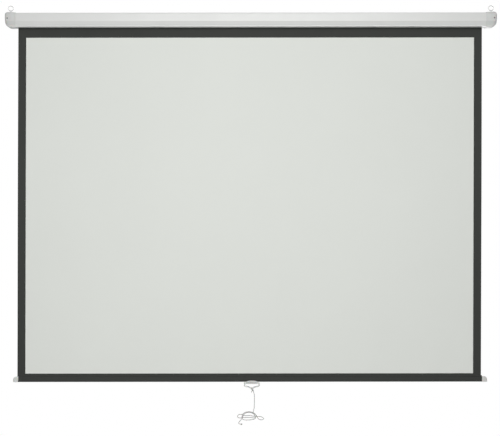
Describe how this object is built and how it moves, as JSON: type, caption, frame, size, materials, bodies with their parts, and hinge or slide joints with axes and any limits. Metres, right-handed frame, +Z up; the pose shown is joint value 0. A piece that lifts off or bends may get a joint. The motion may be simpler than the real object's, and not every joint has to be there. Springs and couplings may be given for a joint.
{
  "type": "projector screen",
  "caption": "Hand-drawn roller projector screen: white image area in a black border, slim steel casing with ring hangers, weighted bottom bar, pull handle and knotted cord.",
  "frame": {"origin": "midway between the two places where the hanging rings bear on their hooks, with the screen hanging at rest and drawn right down", "axes": "+X along the casing, to the right as one faces the image; -Y towards the viewer; +Z up"},
  "size_m": [2.2166, 0.078, 1.9019],
  "materials": {
    "white_paint": "semi-matte white powder coat",
    "cap_plastic": "fine satin moulding",
    "plug_plastic": "satin moulding",
    "black_plastic": "satin moulding",
    "natural_nylon": "satin nylon",
    "zinc_steel": "bright zinc plate",
    "ring_steel": "nickel-plated wire",
    "screw_steel": "bright zinc plate",
    "spring_steel": "oiled spring wire",
    "black_paint": "matte black paint",
    "black_cloth": "matte black coated cloth",
    "white_coating": "matte white coating",
    "cord_fibre": "braided white cord"
  },
  "bodies": {
    "casing": {"casing_shell": "white_paint", "end_cap_left": "cap_plastic", "end_cap_right": "cap_plastic", "hanger_plate_left": "zinc_steel", "hanger_plate_right": "zinc_steel", "cap_screw_front_left": "screw_steel", "cap_screw_front_right": "screw_steel", "cap_screw_rear_left": "screw_steel", "cap_screw_rear_right": "screw_steel", "idle_bush": "natural_nylon", "spring_shaft": "screw_steel", "ratchet_collar": "screw_steel", "torsion_spring": "spring_steel", "black_backing": "black_cloth", "white_face": "white_coating"},
    "roller": {"roller_tube": "zinc_steel", "idle_plug": "black_plastic", "idle_pin": "screw_steel", "spring_plug": "black_plastic", "pawl_pin_a": "screw_steel", "pawl_pin_b": "screw_steel", "fabric_wraps": "black_cloth"},
    "pawl_a": {"pawl_a": "screw_steel"},
    "pawl_b": {"pawl_b": "screw_steel"},
    "bar": {"hem_bar": "black_paint", "hem_pocket": "black_cloth", "bar_plug_left": "plug_plastic", "bar_plug_right": "plug_plastic", "handle_clip": "cap_plastic", "clip_screw_left": "screw_steel", "clip_screw_right": "screw_steel"},
    "handle": {"pull_handle": "cap_plastic"},
    "cord": {"cord_tie": "cord_fibre", "cord_drop": "cord_fibre", "cord_hank": "cord_fibre", "cord_end_knot": "cord_fibre"},
    "ring_left": {"hanging_ring_left": "ring_steel"},
    "ring_right": {"hanging_ring_right": "ring_steel"}
  },
  "joints": [
    {"name": "screen_slide", "type": "slide", "parent": "casing", "child": "bar", "axis": [0, 0, 1], "range_m": [0, 1.5785], "deforming": ["black_backing", "white_face"]},
    {"name": "roller_spin", "type": "hinge", "parent": "casing", "child": "roller", "pos_m": [0, 0, -0.0646], "axis": [1, 0, 0], "range_deg": [0, 4650]},
    {"name": "pawl_a_swing", "type": "hinge", "parent": "roller", "child": "pawl_a", "pos_m": [1.07435, 0.0115, -0.0646], "axis": [-1, 0, 0], "range_deg": [0, 12]},
    {"name": "pawl_b_swing", "type": "hinge", "parent": "roller", "child": "pawl_b", "pos_m": [1.07435, -0.0115, -0.0646], "axis": [-1, 0, 0], "range_deg": [0, 12]},
    {"name": "handle_swing", "type": "hinge", "parent": "bar", "child": "handle", "pos_m": [0.003, 0.018, -1.7075], "axis": [1, 0, 0], "range_deg": [-85, 85]},
    {"name": "cord_swing", "type": "hinge", "parent": "handle", "child": "cord", "pos_m": [0.003, 0.018, -1.733], "axis": [1, 0, 0], "range_deg": [-85, 85]},
    {"name": "ring_left_swing", "type": "hinge", "parent": "casing", "child": "ring_left", "pos_m": [-1.0863, 0, -0.0215], "axis": [1, 0, 0], "range_deg": [-85, 85]},
    {"name": "ring_right_swing", "type": "hinge", "parent": "casing", "child": "ring_right", "pos_m": [1.0863, 0, -0.0215], "axis": [1, 0, 0], "range_deg": [-85, 85]}
  ],
  "couplings": [
    {"joint": "roller_spin", "follows": "screen_slide", "rad_per_m": 50.6},
    {"joint": "cord_swing", "follows": "handle_swing", "ratio": -1}
  ]
}
